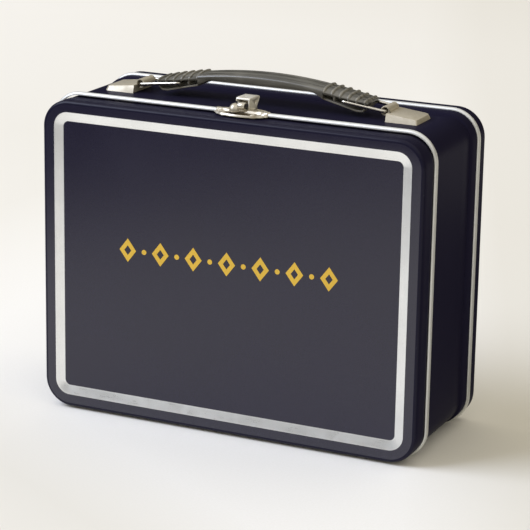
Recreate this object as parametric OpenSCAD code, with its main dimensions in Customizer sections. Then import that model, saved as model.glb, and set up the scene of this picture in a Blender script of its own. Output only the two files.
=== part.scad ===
// Metal lunch box: a shallow front cover hinged along the bottom of a deep case, with a
// top latch over the seam and a moulded grip carried by two wire bails.
// Axes: X across the width, -Y out of the printed front, +Z up. The origin is at the
// middle of the footprint, on the surface that the box stands on.

/* [Box] */
// Width over the sheet walls
box_w = 202; // [180:1:230]
// Height over the sheet walls
box_h = 158.8; // [140:0.2:190]
// Depth from the front rim to the back rim
box_d = 80; // [76:1:100]
// Corner radius of the walls, seen from the front
corner_r = 14; // [12:0.5:20]
// Sheet thickness
sheet_t = 0.6; // [0.5:0.05:0.7]
// Depth of the front cover, front rim to the middle of its hem
cover_d = 13.7; // [12:0.1:18]
// Depth of the back pan, back rim to the middle of its seam
back_d = 8.7; // [7:0.1:12]
// How far the band of the case lies inside the walls of the cover
band_in = 1; // [0.9:0.05:1.1]

/* [Front and back faces] */
// Rounding of the front and back edges
edge_r = 1.8; // [1.2:0.1:3]
// Width of the painted rim round each face
rim_w = 6.4; // [5.5:0.1:8]
// Width of the bright sloping ring
ring_w = 4.7; // [3:0.1:4.9]
// Depth of the panel behind the rim
recess = 1.25; // [0.6:0.05:2]

/* [Seams] */
// Width of the bead over each seam
bead_w = 2.2; // [1.8:0.1:2.4]
// Height of the bead over the walls
bead_out = 1.1; // [0.8:0.05:1.2]

/* [Hinges] */
// Distance of each hinge from the middle of the box
hinge_x = 60; // [30:1:75]
// Hinge pin radius
hinge_pin_r = 0.75; // [0.6:0.05:0.9]

/* [Latch] */
// Sideways place of the latch
latch_x = 1.2; // [-3:0.1:3]
// Length of the oval latch plates
latch_w = 29.8; // [24:0.2:36]
// Width of the oval across both plates
latch_d = 19.8; // [17:0.2:21]

/* [Handle] */
// Length of the moulded handle
handle_l = 114; // [110:1:118]
// Width of the moulded handle
handle_w = 15.6; // [14:0.2:17]
// Place of the handle from front to back
handle_y = 3; // [0:0.5:6]
// Distance of each bracket knuckle from the middle of the box
knuckle_x = 65.5; // [64.5:0.1:66.5]
// Wire radius
wire_r = 0.85; // [0.7:0.05:0.95]

/* [Hidden] */
$fn = 64;
half_w = box_w / 2;
half_h = box_h / 2;
half_d = box_d / 2;
mid_z = half_h + bead_out;
seam_y = -half_d + cover_d;
back_seam_y = half_d - back_d;
neck_l = 4.7;
lip_r = 0.9;
crease_y = back_seam_y - 9;
band_top = mid_z + half_h - band_in;
cover_top = mid_z + half_h;
band_floor = bead_out + band_in + sheet_t;
fit = 0.3;
rivet_fit = 0.02;
pin_fit = 0.07;

// hinge: knuckles stand on the same plane as the beads
knuckle_r = bead_out + band_in;
hinge_y = seam_y + bead_w / 2 + fit + knuckle_r;
hinge_z = knuckle_r;
leaf_t = 0.6;
leaf_half = 12;
inner_half = 5.5;
rivet_r = 1;
rivet_head_r = 1.9;
case_rivet_x = 8;
case_rivet_y = hinge_y + 8;
cover_rivet_x = 7;
cover_rivet_y = seam_y - 6.5;
notch_half = leaf_half + 1.3;
notch_front = seam_y - neck_l - 2;
notch_back = hinge_y + knuckle_r + fit;

// latch
plate_t = 1;
catch_t = 1.7;
ear_t = 0.8;
ear_r = 1.2;
ear_x = 2.3;
cap_half = 3.6;
cap_t = 0.6;
cap_len = 9.7;
cap_top = band_top + 8.2;
latch_pin_r = 0.7;
latch_pin_y = seam_y + 6.7;
latch_pin_z = band_top + 5.4;
cap_front = latch_pin_y - 4.1;
latch_split = bead_w / 2 + 0.1;
latch_rivet_r = 0.8;
latch_rivet_head_r = 1.4;
latch_rivet_x = 7.8;
latch_rivet_y = seam_y + 4.2;
catch_rivet_y = seam_y - 6.4;
clinch_t = 0.3;

// handle
top_arc_r = 220;
grip_top = band_top + 15.1;
grip_under = band_top + 9.9;
grip_half = 26;
end_half = handle_l / 2;
arm_y = handle_w / 2 - 0.3;
tip_x = 43.7;
tip_z = band_top + 7.1;
knuckle_z = band_top + 4.9;
knuckle_half = 6;
bail_x = knuckle_x + 0.35;
bail_z = knuckle_z - 0.5;
tip_l = 5;
bend_r = 1.7;
web_w = 9;
flange_w = 12.8;
rib_x = 34;
rib_gap = 4.3;
rib_w = 1.2;
rib_h = 0.7;
bracket_in = knuckle_x + 1.7;
bracket_out = 83.5;
bracket_half = 10;
tab_x = 75;
tab_y = 5;
tab_w = 5;
tab_t = 0.8;
clinch_l = 4;

paint = [0.17, 0.165, 0.22];
bright = [0.9, 0.9, 0.88];
nickel = [0.78, 0.75, 0.68];
plastic = [0.2, 0.2, 0.2];

// ---- shared shapes -----------------------------------------------------------------

// Stands a shape drawn on its back upright: its x stays, its y becomes height above
// the middle of the box, and its z comes out of the front.
module upright() {
    translate([0, 0, mid_z])
        rotate([90, 0, 0])
            children();
}

// Sweeps a profile round the rounded outline of the box. In the profile, x is the
// distance from the corner's axis, so the wall is at corner_r, and y is -Y of the box.
module round_the_box() {
    cx = half_w - corner_r;
    cy = half_h - corner_r;
    for (side = [0, 1]) {
        for (turn = [0, 1])
            mirror([side, 0, 0])
                mirror([0, turn, 0])
                    translate([cx, cy, 0])
                        rotate_extrude(angle = 90)
                            children();
        mirror([side, 0, 0])
            translate([cx, cy, 0])
                rotate([90, 0, 0])
                    linear_extrude(2 * cy)
                        children();
        mirror([0, side, 0])
            translate([-cx, cy, 0])
                rotate([90, 0, 90])
                    linear_extrude(2 * cx)
                        children();
    }
}

// Flat plate with rounded corners, set in from the walls of the box
module face_plate(inset, thick) {
    r = corner_r - inset;
    w = 2 * (half_w - inset);
    h = 2 * (half_h - inset);
    linear_extrude(thick) {
        square([w - 2 * r, h], center = true);
        square([w, h - 2 * r], center = true);
        for (x = [-1, 1])
            for (y = [-1, 1])
                translate([x * (w / 2 - r), y * (h / 2 - r)])
                    circle(r);
    }
}

// Sheet profile of a pan: wall, rounded edge and flat rim. face is the profile's y at
// the rim and edge is its y at the open end of the wall.
module pan_profile(face, edge) {
    translate([corner_r - sheet_t, edge])
        square([sheet_t, face - edge_r - edge]);
    translate([corner_r - edge_r, face - edge_r])
        intersection() {
            difference() {
                circle(edge_r);
                circle(edge_r - sheet_t);
            }
            square(edge_r);
        }
    translate([corner_r - rim_w, face - sheet_t])
        square([rim_w - edge_r, sheet_t]);
}

// Sloping sheet profile from the rim down to the recessed panel
module slope_profile(face) {
    translate([corner_r - rim_w, face])
        polygon([[0, 0], [-ring_w, -recess], [-ring_w, -recess - sheet_t], [0, -sheet_t]]);
}

// Bead that covers a seam, rounded on its two outer edges
module bead_profile(y) {
    r = bead_out * 0.8;
    translate([corner_r, y - bead_w / 2]) {
        square([bead_out - r, bead_w]);
        translate([0, r])
            square([bead_out, bead_w - 2 * r]);
        for (s = [r, bead_w - r])
            translate([bead_out - r, s])
                circle(r);
    }
}

// Only the part of a bead that stands out of the wall
module outside_wall(y) {
    translate([corner_r, y - bead_w])
        square([2 * bead_out, 2 * bead_w]);
}

// Rivet along -Z: low domed head at the origin, shank, and a flat clinched end
module rivet(r, length, head_r, head_h) {
    dome_r = (head_r * head_r + head_h * head_h) / (2 * head_h);
    intersection() {
        translate([0, 0, head_h - dome_r])
            sphere(dome_r);
        cylinder(r = head_r, h = head_h);
    }
    translate([0, 0, -length])
        cylinder(r = r, h = length);
    translate([0, 0, -length - clinch_t])
        cylinder(r = r * 1.5, h = clinch_t);
}

// Cylinder along X about the middle of its length
module rod_x(r, length) {
    rotate([0, 90, 0])
        cylinder(r = r, h = length, center = true);
}

// Cylinder along Y about the middle of its length
module rod_y(r, length) {
    rotate([90, 0, 0])
        cylinder(r = r, h = length, center = true);
}

// Copies a shape to both hinges
module at_hinges() {
    for (x = [-hinge_x, hinge_x])
        translate([x, 0, 0])
            children();
}

// ---- case ----------------------------------------------------------------------------

// Profile of the band: a neck with a curled lip that goes into the cover, the band
// itself, and a strip behind the crease that stands out to the walls
module band_profile() {
    outer = corner_r - band_in;
    translate([outer - sheet_t, -crease_y])
        square([sheet_t, neck_l - seam_y + crease_y]);
    translate([outer - lip_r, neck_l - seam_y])
        circle(lip_r);
    polygon([
        [outer - sheet_t, -crease_y], [outer, -crease_y],
        [corner_r, -crease_y - band_in], [corner_r - sheet_t, -crease_y - band_in]
    ]);
    translate([corner_r - sheet_t, -back_seam_y])
        square([sheet_t, back_seam_y - crease_y - band_in]);
}

module bracket_slots() {
    grow = 0.2;
    for (x = [-1, 1])
        for (y = [-1, 1])
            translate([x * tab_x, handle_y + y * tab_y, band_top])
                cube([tab_w + grow, tab_t + grow, 3], center = true);
}

module case_band() {
    color(paint)
        difference() {
            upright()
                round_the_box()
                    band_profile();
            // notches for the hinge knuckles
            at_hinges()
                translate([-notch_half, notch_front, -1])
                    cube([2 * notch_half, notch_back - notch_front, 6]);
            // holes for the hinge rivets
            at_hinges()
                case_rivet_places()
                    cylinder(r = rivet_r + rivet_fit, h = 8, center = true);
            // slots for the bracket tabs
            bracket_slots();
            // holes for the latch rivets
            for (x = [-1, 1])
                translate([latch_x + x * latch_rivet_x, latch_rivet_y, band_top])
                    cylinder(r = latch_rivet_r + rivet_fit, h = 6, center = true);
        }
}

module case_back() {
    color(paint)
        upright()
            round_the_box()
                mirror([0, 1])
                    union() {
                        pan_profile(half_d, back_seam_y);
                        slope_profile(half_d);
                    }
}

module case_back_panel() {
    color(paint)
        upright()
            translate([0, 0, -half_d + recess])
                face_plate(rim_w + ring_w, sheet_t);
}

module case_back_seam() {
    color(bright)
        upright()
            round_the_box()
                intersection() {
                    bead_profile(-back_seam_y);
                    outside_wall(-back_seam_y);
                }
}

// ---- cover ---------------------------------------------------------------------------

module cover_shell() {
    color(paint)
        difference() {
            upright()
                round_the_box()
                    pan_profile(half_d, -seam_y - bead_w / 2);
            at_hinges()
                cover_rivet_places()
                    cylinder(r = rivet_r + rivet_fit, h = 4, center = true);
            for (x = [-1, 1])
                translate([latch_x + x * latch_rivet_x, catch_rivet_y, cover_top])
                    cylinder(r = latch_rivet_r + rivet_fit, h = 4, center = true);
        }
}

module cover_ring() {
    color(bright)
        upright()
            round_the_box()
                slope_profile(half_d);
}

module cover_panel() {
    color([0.25, 0.24, 0.29])
        upright()
            translate([0, 0, half_d - recess - sheet_t])
                face_plate(rim_w + ring_w, sheet_t);
}

module cover_hem() {
    color(bright)
        upright()
            round_the_box()
                intersection() {
                    bead_profile(-seam_y);
                    outside_wall(-seam_y);
                }
}

// ---- hinges --------------------------------------------------------------------------

module case_rivet_places() {
    for (x = [-1, 1])
        translate([x * case_rivet_x, case_rivet_y, 0])
            children();
}

module cover_rivet_places() {
    for (x = [-1, 1])
        translate([x * cover_rivet_x, cover_rivet_y, 0])
            children();
}

// Leaf inside the band, with the two outer knuckles
module case_leaf() {
    outer_l = leaf_half - inner_half - fit;
    difference() {
        union() {
            for (s = [-1, 1])
                translate([s * (leaf_half - outer_l / 2), 0, 0]) {
                    translate([0, hinge_y, hinge_z])
                        rod_x(knuckle_r, outer_l);
                    translate([-outer_l / 2, hinge_y, band_floor])
                        cube([outer_l, 3, leaf_t]);
                }
            translate([-leaf_half, hinge_y + 2.3, band_floor])
                cube([2 * leaf_half, 9.7, leaf_t]);
        }
        translate([0, hinge_y, hinge_z])
            rod_x(hinge_pin_r + rivet_fit, 3 * leaf_half);
        case_rivet_places()
            cylinder(r = rivet_r + rivet_fit, h = 12, center = true);
    }
}

// Leaf on the floor of the cover, with the middle knuckle
module cover_leaf() {
    floor_z = bead_out + sheet_t;
    difference() {
        union() {
            translate([0, hinge_y, hinge_z])
                rod_x(knuckle_r, 2 * inner_half);
            translate([-inner_half, seam_y - 3, floor_z])
                cube([2 * inner_half, hinge_y - seam_y + 3, leaf_t]);
            translate([-leaf_half + 1, seam_y - 9.3, floor_z])
                cube([2 * leaf_half - 2, 7, leaf_t]);
        }
        translate([0, hinge_y, hinge_z])
            rod_x(hinge_pin_r + pin_fit, 3 * leaf_half);
        cover_rivet_places()
            cylinder(r = rivet_r + rivet_fit, h = 8, center = true);
    }
}

module hinge_pin() {
    translate([0, hinge_y, hinge_z])
        rod_x(hinge_pin_r, 2 * leaf_half + 0.6);
}

module hinge_leaf_case_left() {
    color(nickel)
        translate([-hinge_x, 0, 0])
            case_leaf();
}

module hinge_leaf_case_right() {
    color(nickel)
        translate([hinge_x, 0, 0])
            case_leaf();
}

module hinge_leaf_cover_left() {
    color(nickel)
        translate([-hinge_x, 0, 0])
            cover_leaf();
}

module hinge_leaf_cover_right() {
    color(nickel)
        translate([hinge_x, 0, 0])
            cover_leaf();
}

module hinge_pin_left() {
    color(nickel)
        translate([-hinge_x, 0, 0])
            hinge_pin();
}

module hinge_pin_right() {
    color(nickel)
        translate([hinge_x, 0, 0])
            hinge_pin();
}

module hinge_rivets_case() {
    under = bead_out + band_in;
    color(nickel)
        at_hinges()
            case_rivet_places()
                translate([0, 0, under])
                    mirror([0, 0, 1])
                        rivet(rivet_r, sheet_t + leaf_t, rivet_head_r, 0.8);
}

module hinge_rivets_cover() {
    color(nickel)
        at_hinges()
            cover_rivet_places()
                translate([0, 0, bead_out])
                    mirror([0, 0, 1])
                        rivet(rivet_r, sheet_t + leaf_t, rivet_head_r, 0.5);
}

// ---- latch ---------------------------------------------------------------------------

// Oval outline with scalloped ends
module latch_oval() {
    lobes = 14;
    scallop = 0.45;
    points = [
        for (i = [0 : 3 : 357])
            let (
                end = pow(abs(cos(i)), 4),
                grow = 1 + scallop * end * (cos(i * lobes) - 1) / latch_w
            )
            [cos(i) * latch_w / 2 * grow, sin(i) * latch_d / 2 * grow]
    ];
    translate([latch_x, seam_y])
        polygon(points);
}

module latch_base() {
    color(nickel)
        difference() {
            translate([0, 0, band_top])
                linear_extrude(plate_t)
                    intersection() {
                        latch_oval();
                        translate([-half_w, seam_y + latch_split + fit])
                            square([box_w, latch_d]);
                    }
            for (x = [-1, 1])
                translate([latch_x + x * latch_rivet_x, latch_rivet_y, band_top])
                    cylinder(r = latch_rivet_r + rivet_fit, h = 6, center = true);
        }
}

// Two ears that carry the hasp's pin
module latch_ears() {
    foot = band_top + plate_t;
    color(nickel)
        difference() {
            for (s = [-1, 1])
                translate([latch_x + s * ear_x, latch_pin_y, 0]) {
                    translate([0, 0, latch_pin_z])
                        rod_x(ear_r, ear_t);
                    translate([-ear_t / 2, -ear_r, foot])
                        cube([ear_t, 2 * ear_r, latch_pin_z - foot]);
                }
            translate([latch_x, latch_pin_y, latch_pin_z])
                rod_x(latch_pin_r + rivet_fit, 10);
        }
}

module latch_pin() {
    color(nickel)
        translate([latch_x, latch_pin_y, latch_pin_z])
            rod_x(latch_pin_r, 2 * cap_half + 0.5);
}

// Channel-shaped hasp: side outline extruded across, hollowed, with its pin hole.
// Its rear lower corner is cut back so that it can tip up.
module latch_hasp() {
    rear = cap_front + cap_len;
    low = band_top + plate_t + fit;
    color(nickel)
        difference() {
            translate([latch_x - cap_half, 0, 0])
                rotate([90, 0, 90])
                    linear_extrude(2 * cap_half)
                        polygon([
                            [cap_front, low], [cap_front, cap_top - 0.6],
                            [cap_front + 0.6, cap_top], [rear - 1, cap_top - 0.5],
                            [rear, cap_top - 1.4], [rear, latch_pin_z + 1],
                            [latch_pin_y + 2, low + 0.6], [latch_pin_y + 0.6, low]
                        ]);
            translate([latch_x - cap_half + cap_t, cap_front - 1, low - 1])
                cube([2 * (cap_half - cap_t), cap_len + 2, cap_top - 0.7 - cap_t - low + 1]);
            translate([latch_x, latch_pin_y, latch_pin_z])
                rod_x(latch_pin_r + pin_fit, 10);
        }
}

module latch_catch() {
    color(nickel)
        difference() {
            translate([0, 0, cover_top])
                linear_extrude(catch_t)
                    intersection() {
                        latch_oval();
                        translate([-half_w, seam_y - latch_d])
                            square([box_w, latch_d + latch_split]);
                    }
            // channel over the hem
            translate([-half_w, seam_y - bead_w / 2 - 0.05, cover_top - 1])
                cube([box_w, bead_w + 1, bead_out + 1.02]);
            for (x = [-1, 1])
                translate([latch_x + x * latch_rivet_x, catch_rivet_y, cover_top])
                    cylinder(r = latch_rivet_r + rivet_fit, h = 4, center = true);
        }
}

// Rolled nose on the catch plate, with a tongue that reaches into the hasp
module latch_nose() {
    foot = cover_top + catch_t;
    roll_r = 1.9;
    roll_z = foot + roll_r;
    color(nickel) {
        translate([latch_x - 1, seam_y - 1.2, roll_z])
            rod_x(roll_r, 7);
        translate([latch_x - 3, seam_y - 2.2, foot])
            cube([5, 2, roll_r]);
        translate([latch_x - 2, seam_y - 1.2, roll_z])
            cube([4, 4.4, 1.1]);
    }
}

module latch_rivets_case() {
    color(nickel)
        for (x = [-1, 1])
            translate([latch_x + x * latch_rivet_x, latch_rivet_y, band_top + plate_t])
                rivet(latch_rivet_r, plate_t + sheet_t, latch_rivet_head_r, 0.7);
}

module latch_rivets_cover() {
    color(nickel)
        for (x = [-1, 1])
            translate([latch_x + x * latch_rivet_x, catch_rivet_y, cover_top + catch_t])
                rivet(latch_rivet_r, catch_t + sheet_t, latch_rivet_head_r, 0.7);
}

// ---- handle --------------------------------------------------------------------------

// Height of the top of the handle at a distance from its middle
function top_at(x) = grip_top - top_arc_r + sqrt(top_arc_r * top_arc_r - x * x);

// Height of a bail's arm at a distance from the middle of the handle
function arm_at(x) = bail_z + (tip_z - bail_z) * (bail_x - x) / (bail_x - tip_x);

// Extrudes a side outline, drawn in X and Z, to a width along Y about the handle
module across(width) {
    translate([0, handle_y + width / 2, 0])
        rotate([90, 0, 0])
            linear_extrude(width)
                children();
}

// Everything under the top curve of the handle, lowered by drop
module under_arc(drop) {
    translate([0, grip_top - top_arc_r - drop])
        circle(top_arc_r, $fn = 360);
}

// Side outline of the handle: curved top, flat grip, and thicker flanged ends
module handle_side(flange_drop) {
    intersection() {
        under_arc(0);
        polygon([
            [-end_half, tip_z - 1.2], [-end_half + 3, tip_z - flange_drop],
            [-end_half + 6, tip_z - flange_drop], [-34, grip_under - 3.4],
            [-grip_half, grip_under], [grip_half, grip_under], [34, grip_under - 3.4],
            [end_half - 6, tip_z - flange_drop], [end_half - 3, tip_z - flange_drop],
            [end_half, tip_z - 1.2], [end_half, grip_top + 1], [-end_half, grip_top + 1]
        ]);
    }
}

module handle_grip() {
    rib_inset = 0.4;
    color(plastic)
        difference() {
            union() {
                // grip and ribbed top plate, full width
                across(handle_w)
                    difference() {
                        handle_side(4.6);
                        for (s = [-1, 1])
                            polygon([
                                [s * 33, grip_under - 10], [s * 33, arm_at(33) + 1.25],
                                [s * 60, arm_at(60) + 1.25], [s * 60, grip_under - 10]
                            ]);
                    }
                // narrower web and flange of both ends
                across(web_w)
                    handle_side(4.6);
                across(flange_w)
                    difference() {
                        handle_side(4.6);
                        for (s = [-1, 1])
                            polygon([
                                [s * 33, top_at(33)], [s * 33, grip_under - 2.2],
                                [s * (end_half - 6), tip_z - 3.4], [s * 60, tip_z - 3.4],
                                [s * 60, top_at(57)]
                            ]);
                    }
                // transverse ribs
                for (s = [-1, 1])
                    for (i = [0 : 5])
                        translate([s * (rib_x + rib_gap * i) - rib_w / 2, handle_y, 0])
                            translate([0, rib_inset - handle_w / 2, top_at(rib_x + rib_gap * i) - 1])
                                cube([rib_w, handle_w - 2 * rib_inset, 1 + rib_h]);
            }
            // slots that the wire tips slide in
            for (s = [-1, 1])
                across(handle_w + 2)
                    polygon([
                        [s * 35, tip_z - 0.9], [s * 35, tip_z + 1.4],
                        [s * 50.5, tip_z + 1.2], [s * 50.5, tip_z - 1.9]
                    ]);
        }
}

// Wire bail, a flat loop with bent corners: a crossbar that turns in the knuckle, two
// arms, and tips bent towards each other that slide in the handle's slots
module wire_bail() {
    run = bail_x - tip_x;
    rise = tip_z - bail_z;
    length = sqrt(run * run + rise * rise);
    slope = atan2(rise, run);
    straight = arm_y - bend_r;
    translate([bail_x, handle_y, bail_z])
        rotate([0, 180 + slope, 0]) {
            rod_y(wire_r, 2 * straight);
            for (side = [0, 1])
                mirror([0, side, 0]) {
                    translate([bend_r, straight, 0])
                        rotate([0, 0, 90])
                            wire_bend();
                    translate([bend_r, arm_y, 0])
                        rotate([0, 90, 0])
                            cylinder(r = wire_r, h = length - 2 * bend_r);
                    translate([length - bend_r, straight, 0])
                        wire_bend();
                    translate([length, straight - (tip_l - bend_r) / 2, 0])
                        rod_y(wire_r, tip_l - bend_r);
                }
        }
}

// Quarter turn of wire about the origin
module wire_bend() {
    rotate_extrude(angle = 90)
        translate([bend_r, 0])
            circle(wire_r);
}

module handle_wire_right() {
    color(bright)
        wire_bail();
}

module handle_wire_left() {
    color(bright)
        mirror([1, 0, 0])
            wire_bail();
}

// Solid with the outside shape of a bracket's roof, made thinner all round by less
module bracket_roof(less) {
    half = bracket_half - less;
    high_in = 3.9 - less;
    high_out = 2.1 - less;
    end = bracket_out - less;
    round_r = 3;
    intersection() {
        translate([0, half + 1, 0])
            rotate([90, 0, 0])
                linear_extrude(2 * half + 2)
                    polygon([
                        [bracket_in - less, 0], [end, 0], [end - 0.9, high_out],
                        [bracket_in - less, high_in]
                    ]);
        translate([bracket_in - 2, 0, 0])
            rotate([90, 0, 90])
                linear_extrude(20)
                    polygon([[-half, 0], [half, 0], [half - 1.2, 4], [1.2 - half, 4]]);
        linear_extrude(5) {
            translate([bracket_in - 2, -half])
                square([end - bracket_in + 2 - round_r, 2 * half]);
            translate([bracket_in - 2, -half + round_r])
                square([end - bracket_in + 2, 2 * (half - round_r)]);
            for (y = [-1, 1])
                translate([end - round_r, y * (half - round_r)])
                    circle(round_r);
        }
    }
}

// Pressed bracket: roof, open curled knuckle, and two tabs clinched inside the band
module bracket() {
    thick = 0.8;
    outer_r = 2.3;
    bore_r = 1.75;
    translate([0, handle_y, band_top])
        difference() {
            union() {
                difference() {
                    bracket_roof(0);
                    translate([0, 0, -0.01])
                        bracket_roof(thick);
                }
                translate([knuckle_x, 0, knuckle_z - band_top])
                    rod_y(outer_r, 2 * knuckle_half);
                translate([knuckle_x, -knuckle_half, knuckle_z - band_top - outer_r])
                    cube([2.6, 2 * knuckle_half, 1.4]);
            }
            translate([knuckle_x, 0, knuckle_z - band_top])
                rod_y(bore_r, 2 * knuckle_half + 2);
        }
    low = band_top - sheet_t - 0.6;
    for (y = [-1, 1])
        translate([tab_x - tab_w / 2, handle_y + y * tab_y - tab_t / 2, low]) {
            cube([tab_w, tab_t, sheet_t + 3.2]);
            translate([0, y > 0 ? 0 : tab_t - clinch_l, 0])
                cube([tab_w, clinch_l, 0.6]);
        }
}

module handle_bracket_right() {
    color(nickel)
        bracket();
}

module handle_bracket_left() {
    color(nickel)
        mirror([1, 0, 0])
            bracket();
}

case_band();
case_back();
case_back_panel();
case_back_seam();
cover_shell();
cover_ring();
cover_panel();
cover_hem();
hinge_leaf_case_left();
hinge_leaf_case_right();
hinge_leaf_cover_left();
hinge_leaf_cover_right();
hinge_pin_left();
hinge_pin_right();
hinge_rivets_case();
hinge_rivets_cover();
latch_base();
latch_ears();
latch_pin();
latch_hasp();
latch_catch();
latch_nose();
latch_rivets_case();
latch_rivets_cover();
handle_grip();
handle_wire_left();
handle_wire_right();
handle_bracket_left();
handle_bracket_right();
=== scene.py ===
"""The looks of a sheet-metal lunch box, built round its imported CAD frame.

Every size is in metres and in the frame's own axes: X across the width, -Y out of the
printed front, +Z up. Swept pieces follow the rounded outline of the box; a profile point
is (out, y), where out is the distance outside the sheet walls.
"""

import math

import bmesh
import bpy
from mathutils import Matrix, Vector, noise


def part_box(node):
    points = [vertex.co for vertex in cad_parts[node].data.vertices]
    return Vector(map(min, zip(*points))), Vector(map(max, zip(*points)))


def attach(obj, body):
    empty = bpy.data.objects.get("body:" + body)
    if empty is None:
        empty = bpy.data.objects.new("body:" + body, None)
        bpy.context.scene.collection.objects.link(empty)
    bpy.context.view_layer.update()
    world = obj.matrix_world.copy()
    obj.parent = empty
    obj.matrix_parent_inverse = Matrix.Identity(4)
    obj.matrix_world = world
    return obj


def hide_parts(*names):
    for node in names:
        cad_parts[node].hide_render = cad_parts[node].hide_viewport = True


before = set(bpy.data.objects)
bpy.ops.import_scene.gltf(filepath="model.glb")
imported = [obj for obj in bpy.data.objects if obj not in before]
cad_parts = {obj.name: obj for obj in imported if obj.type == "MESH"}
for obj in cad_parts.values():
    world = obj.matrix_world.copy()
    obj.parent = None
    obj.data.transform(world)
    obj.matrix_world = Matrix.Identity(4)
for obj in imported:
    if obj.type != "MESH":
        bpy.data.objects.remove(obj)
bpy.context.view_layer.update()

MM = 0.001

# ---- sizes read from the frame ---------------------------------------------------------

shell_low, shell_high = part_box("cover_shell")
hem_low, hem_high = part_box("cover_hem")
back_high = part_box("case_back")[1]
seam_low, seam_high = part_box("case_back_seam")
ring_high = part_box("cover_ring")[1]
panel_low, panel_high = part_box("cover_panel")
base_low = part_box("latch_base")[0]
catch_low, catch_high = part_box("latch_catch")
hasp_low, hasp_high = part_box("latch_hasp")
nose_low, nose_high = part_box("latch_nose")
pin_low, pin_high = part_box("latch_pin")
grip_low, grip_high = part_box("handle_grip")
bracket_low, bracket_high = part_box("handle_bracket_right")

HALF_W = shell_high.x
HALF_H = (shell_high.z - shell_low.z) / 2
MID_Z = (shell_high.z + shell_low.z) / 2
FRONT_Y = shell_low.y
BACK_Y = back_high.y
CORNER_R = 14 * MM
SHEET = panel_high.y - panel_low.y
RECESS = panel_low.y - FRONT_Y
EDGE_R = 1.8 * MM
RIM_W = HALF_W - ring_high.x
RING_W = ring_high.x - panel_high.x
BEAD_R = (hem_high.y - hem_low.y) / 2
SEAM_Y = (hem_low.y + hem_high.y) / 2
BACK_SEAM_Y = (seam_low.y + seam_high.y) / 2
BAND_IN = 1 * MM
CREASE_Y = BACK_SEAM_Y - 9 * MM
BAND_TOP = base_low.z
COVER_TOP = shell_high.z
COVER_DROP = 0.75 * MM
GROOVE = 0.5 * MM

# ---- camera ----------------------------------------------------------------------------

CAMERA_AT = Vector((464.6, -999.45, 393.1)) * MM
CAMERA_YAW = math.radians(24.81)
CAMERA_PITCH = math.radians(15.98)
CAMERA_ROLL = 0.01706
CAMERA_LENS = 156.15


def make_camera():
    data = bpy.data.cameras.new("camera")
    data.lens = CAMERA_LENS
    data.sensor_width = 36
    data.clip_start = 0.05
    data.clip_end = 20
    camera = bpy.data.objects.new("camera", data)
    bpy.context.scene.collection.objects.link(camera)
    flat = math.cos(CAMERA_PITCH)
    ahead = Vector((-math.sin(CAMERA_YAW), math.cos(CAMERA_YAW), 0)) * flat
    look = ahead - Vector((0, 0, math.sin(CAMERA_PITCH)))
    right = look.cross(Vector((0, 0, 1))).normalized()
    up = right.cross(look)
    right_rolled = right * math.cos(CAMERA_ROLL) + up * math.sin(CAMERA_ROLL)
    up_rolled = up * math.cos(CAMERA_ROLL) - right * math.sin(CAMERA_ROLL)
    turn = Matrix((right_rolled, up_rolled, -look)).transposed()
    camera.matrix_world = Matrix.Translation(CAMERA_AT) @ turn.to_4x4()
    bpy.context.scene.camera = camera


make_camera()

# ---- materials -------------------------------------------------------------------------


class Nodes:
    """Short calls that add nodes to a tree and link what feeds them."""

    def __init__(self, tree):
        self.tree = tree

    def node(self, kind, inputs, **settings):
        made = self.tree.nodes.new("ShaderNode" + kind)
        for key, value in settings.items():
            setattr(made, key, value)
        for key, value in inputs.items():
            if isinstance(value, bpy.types.NodeSocket):
                self.tree.links.new(value, made.inputs[key])
            else:
                made.inputs[key].default_value = value
        return made

    def band(self, value, low, high, to_low=0.0, to_high=1.0):
        ends = {"From Min": low, "From Max": high, "To Min": to_low, "To Max": to_high}
        return self.node("MapRange", {"Value": value, **ends}).outputs["Result"]

    def maths(self, operation, a, b):
        return self.node("Math", {0: a, 1: b}, operation=operation).outputs["Value"]

    def times(self, a, b):
        return self.maths("MULTIPLY", a, b)

    def plus(self, a, b):
        return self.maths("ADD", a, b)

    def rest(self, share):
        return self.maths("SUBTRACT", 1.0, share)

    def mix(self, factor, a, b):
        return self.node("Mix", {0: factor, 6: a, 7: b}, data_type="RGBA").outputs[2]


class Shader(Nodes):
    """A material with one Principled shader, and short calls for what feeds it."""

    def __init__(self, name, **values):
        self.material = bpy.data.materials.new(name)
        self.material.use_nodes = True
        super().__init__(self.material.node_tree)
        self.surface = self.tree.nodes["Principled BSDF"]
        self.coordinates = self.node("TexCoord", {}).outputs["Object"]
        for socket, value in values.items():
            self.surface.inputs[socket.replace("_", " ")].default_value = value

    def along(self):
        """Coordinates that run along a swept piece (x) and across its profile (y)."""
        return self.node("UVMap", {}, uv_map="along").outputs["UV"]

    def stretched(self, x, y, z, source=None):
        scaled = self.node("Mapping", {"Vector": source or self.coordinates, "Scale": (x, y, z)})
        return scaled.outputs["Vector"]

    def noise(self, scale, detail=3.0, source=None):
        inputs = {"Vector": source or self.coordinates, "Scale": scale, "Detail": detail}
        return self.node("TexNoise", {**inputs, "Roughness": 0.55}).outputs["Fac"]

    def cells(self, scale, output="Distance"):
        return self.node("TexVoronoi", {"Vector": self.coordinates, "Scale": scale}).outputs[output]

    def bump(self, height, distance, after=None):
        inputs = {"Height": height, "Strength": 1.0, "Distance": distance}
        if after is not None:
            inputs["Normal"] = after
        return self.node("Bump", inputs).outputs["Normal"]

    def attribute(self, name):
        return self.node("Attribute", {}, attribute_name=name).outputs["Fac"]

    def set(self, socket, value):
        self.tree.links.new(value, self.surface.inputs[socket])


def colour(red, green, blue):
    """A colour given as it is seen, in steps of 255, as the linear values a shader takes."""
    parts = []
    for part in (red, green, blue):
        part /= 255
        parts.append(part / 12.92 if part <= 0.04045 else ((part + 0.055) / 1.055) ** 2.4)
    return (*parts, 1.0)


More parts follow.
